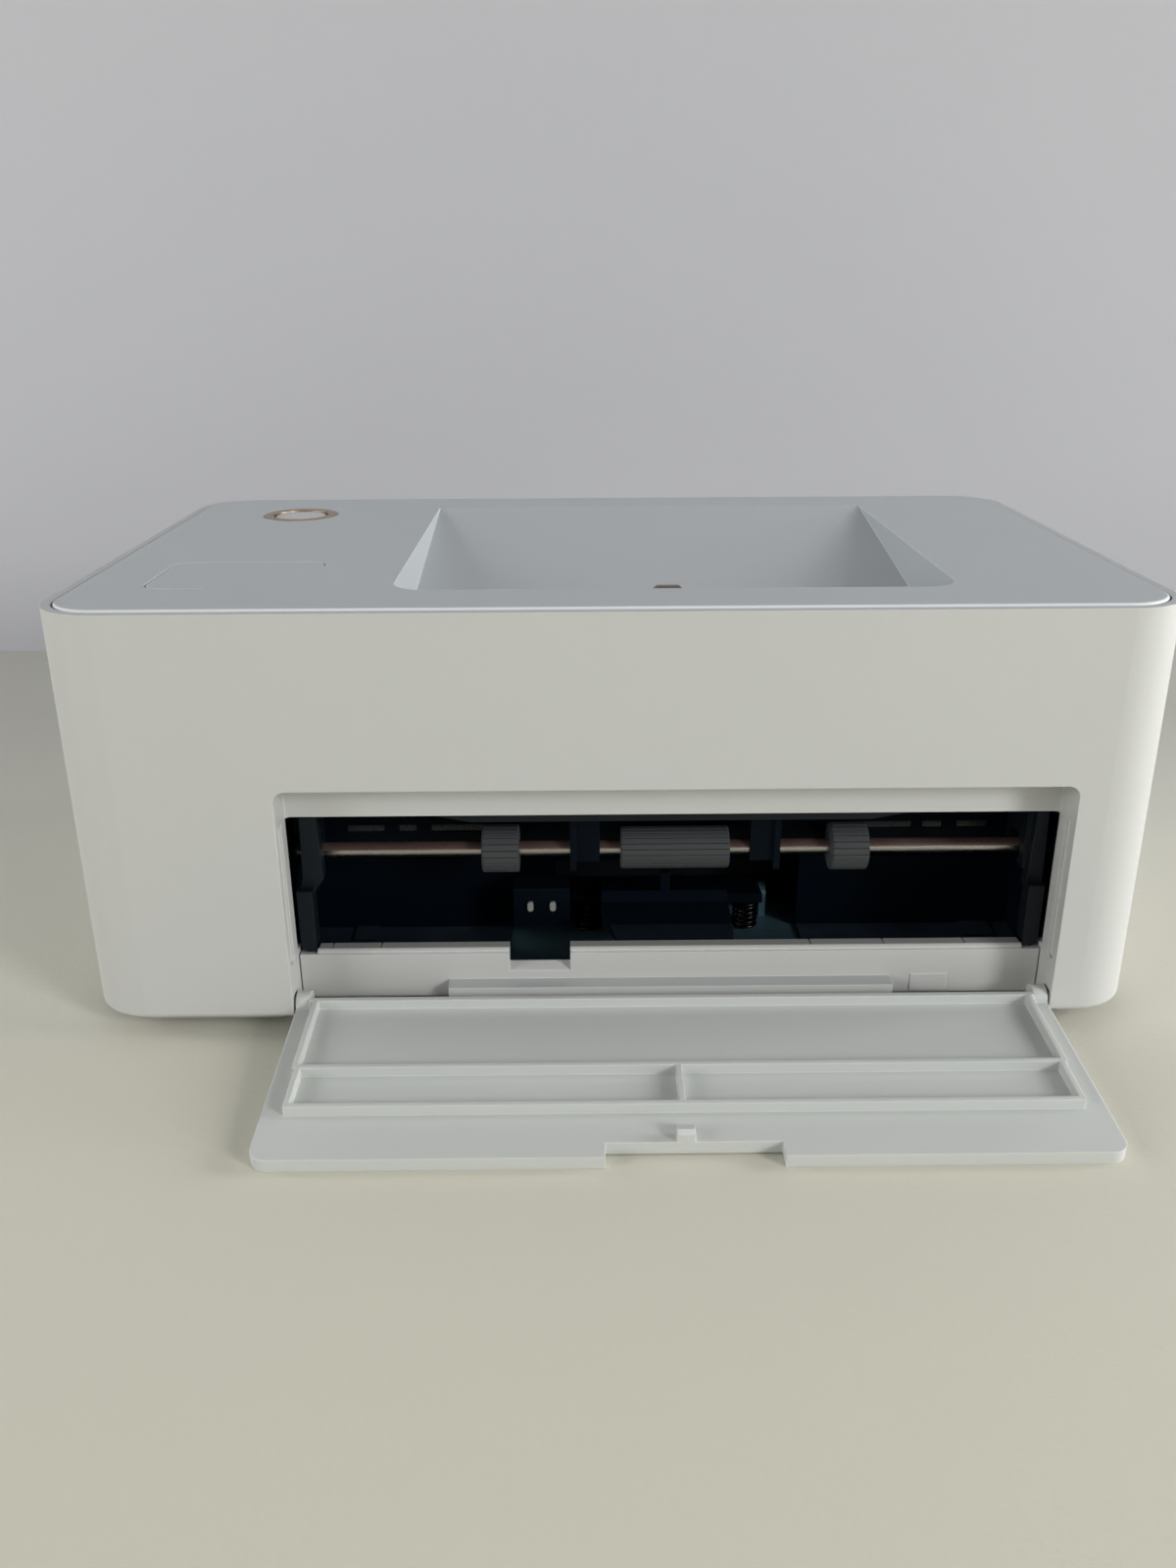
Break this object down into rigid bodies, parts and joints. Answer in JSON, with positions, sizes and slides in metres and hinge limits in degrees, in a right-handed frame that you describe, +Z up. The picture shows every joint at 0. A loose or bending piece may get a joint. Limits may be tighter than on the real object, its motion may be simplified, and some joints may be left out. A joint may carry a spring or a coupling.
{
  "type": "compact dock photo printer",
  "caption": "Low white photo printer with a phone dock in its top and a drop-down front door, open over the black paper feed bay.",
  "frame": {"origin": "on the table, under the middle of the footprint that the body and its open front door cover", "axes": "+X to the right seen from the front, +Y to the back, +Z up; the front door lies open towards -Y"},
  "size_m": [0.166, 0.1366, 0.0684],
  "materials": {
    "casing": "fine matt white",
    "cover": "fine matt white",
    "base": "matt pale grey",
    "door": "satin white",
    "feet": "matt",
    "steel": "bright",
    "dark_steel": "dark, blued",
    "spring_steel": "dark wire",
    "shaft_chrome": "polished",
    "bay_black": "satin black",
    "engine_grey": "satin dark grey",
    "inner_white": "natural, slightly creamy",
    "contact_grey": "dull",
    "guide_black": "satin black, a little lighter than the bay",
    "strip_grey": "matt grey",
    "smoked_plastic": "smoked",
    "roller_rubber": "matt grey",
    "platen_rubber": "matt black",
    "heat_sink": "extruded",
    "brass": "turned",
    "gold_ring": "satin gold plating",
    "button_white": "semi-gloss white",
    "circuit_board": "green varnish",
    "plug_metal": "dull nickel"
  },
  "bodies": {
    "case": {"outer_shell": "casing", "rear_panel": "casing", "top_cover": "cover", "base_plate": "base", "rubber_feet": "feet", "case_screws": "steel", "front_sill": "casing", "sill_strip": "strip_grey", "bay_frame": "bay_black", "window_strip": "smoked_plastic", "bay_floor_plate": "dark_steel", "paper_guides": "guide_black", "guide_beam": "guide_black", "shaft_hangers": "bay_black", "feed_bushes": "inner_white", "sensor_block": "bay_black", "sensor_pins": "contact_grey", "engine_frame": "engine_grey", "gear_studs": "steel", "motor_bracket": "steel", "drive_motor": "steel", "main_board": "circuit_board", "socket_board": "circuit_board", "dc_jack": "bay_black", "usb_port": "steel", "button_ring": "gold_ring", "button_switch": "circuit_board", "dock_cradle": "inner_white", "lift_springs": "spring_steel"},
    "door": {"front_door": "door"},
    "side_door": {"cartridge_door": "casing"},
    "button": {"power_button": "button_white"},
    "dock": {"dock_rocker": "inner_white", "dock_plug": "plug_metal"},
    "lift": {"lift_plate": "bay_black"},
    "feed": {"feed_shaft": "shaft_chrome", "pick_roller_left": "roller_rubber", "pick_roller_middle": "roller_rubber", "pick_roller_right": "roller_rubber", "feed_gear": "inner_white"},
    "capstan": {"capstan_shaft": "shaft_chrome", "capstan_roller": "steel", "capstan_gear": "inner_white"},
    "pinch": {"pinch_roller": "roller_rubber"},
    "platen": {"platen_shaft": "shaft_chrome", "platen_roller": "platen_rubber", "platen_gear": "inner_white"},
    "idler_front": {"idler_gear_front": "inner_white"},
    "idler_middle": {"idler_gear_middle": "inner_white"},
    "idler_rear": {"idler_gear_rear": "inner_white"},
    "takeup": {"takeup_spindle": "inner_white"},
    "supply": {"supply_spindle": "inner_white"},
    "pinion": {"motor_pinion": "brass"},
    "head": {"print_head": "engine_grey", "head_heat_sink": "heat_sink"}
  },
  "joints": [
    {"name": "front_door_hinge", "type": "hinge", "parent": "case", "child": "door", "pos_m": [0.0094, -0.03224, 0.0045], "axis": [1, 0, 0], "range_deg": [-93.9, 0]},
    {"name": "cartridge_door_hinge", "type": "hinge", "parent": "case", "child": "side_door", "pos_m": [0.081, 0.03401, 0.0254], "axis": [0, 1, 0], "range_deg": [0, 92]},
    {"name": "power_button_press", "type": "slide", "parent": "case", "child": "button", "axis": [0, 0, -1], "range_m": [0, 0.0008], "stiffness_N_per_m": 500, "springref_m": -0.0012},
    {"name": "dock_plug_tilt", "type": "hinge", "parent": "case", "child": "dock", "pos_m": [0.00875, -0.01774, 0.0568], "axis": [1, 0, 0], "range_deg": [-10, 5], "stiffness_Nm_per_rad": 0.02},
    {"name": "lift_plate_hinge", "type": "hinge", "parent": "case", "child": "lift", "pos_m": [0.0101, -0.00124, 0.008], "axis": [1, 0, 0], "range_deg": [0, 5], "stiffness_Nm_per_rad": 0.03, "springref_deg": -11.46, "deforming": ["lift_springs"]},
    {"name": "platen_spin", "type": "hinge", "parent": "case", "child": "platen", "pos_m": [0.0094, 0.03526, 0.0164], "axis": [1, 0, 0], "continuous": true},
    {"name": "capstan_spin", "type": "hinge", "parent": "case", "child": "capstan", "pos_m": [0.0094, 0.01126, 0.0189], "axis": [1, 0, 0], "continuous": true},
    {"name": "feed_spin", "type": "hinge", "parent": "case", "child": "feed", "pos_m": [0.0094, -0.01824, 0.0248], "axis": [1, 0, 0], "continuous": true},
    {"name": "idler_front_spin", "type": "hinge", "parent": "case", "child": "idler_front", "pos_m": [-0.0575, -0.00137, 0.02607], "axis": [1, 0, 0], "continuous": true},
    {"name": "idler_middle_spin", "type": "hinge", "parent": "case", "child": "idler_middle", "pos_m": [-0.0575, 0.02409, 0.02568], "axis": [1, 0, 0], "continuous": true},
    {"name": "idler_rear_spin", "type": "hinge", "parent": "case", "child": "idler_rear", "pos_m": [-0.0575, 0.04831, 0.02275], "axis": [1, 0, 0], "continuous": true},
    {"name": "takeup_spin", "type": "hinge", "parent": "case", "child": "takeup", "pos_m": [-0.0575, 0.04976, 0.038], "axis": [1, 0, 0], "continuous": true},
    {"name": "motor_pinion_spin", "type": "hinge", "parent": "case", "child": "pinion", "pos_m": [-0.0575, 0.02833, 0.03618], "axis": [1, 0, 0], "continuous": true},
    {"name": "pinch_spin", "type": "hinge", "parent": "case", "child": "pinch", "pos_m": [0.0094, 0.01126, 0.0255], "axis": [1, 0, 0], "continuous": true},
    {"name": "supply_spin", "type": "hinge", "parent": "case", "child": "supply", "pos_m": [-0.0575, 0.01826, 0.038], "axis": [1, 0, 0], "continuous": true},
    {"name": "head_lift", "type": "hinge", "parent": "case", "child": "head", "pos_m": [0.0094, 0.05726, 0.053], "axis": [1, 0, 0], "range_deg": [-6, 0]}
  ],
  "couplings": [
    {"joint": "idler_middle_spin", "follows": "platen_spin", "ratio": -1.25},
    {"joint": "idler_rear_spin", "follows": "platen_spin", "ratio": -1.25},
    {"joint": "capstan_spin", "follows": "platen_spin", "ratio": 1},
    {"joint": "idler_front_spin", "follows": "platen_spin", "ratio": -1.25},
    {"joint": "feed_spin", "follows": "platen_spin", "ratio": 0.76923},
    {"joint": "takeup_spin", "follows": "platen_spin", "ratio": 0.90909},
    {"joint": "motor_pinion_spin", "follows": "platen_spin", "ratio": 1.6667}
  ]
}
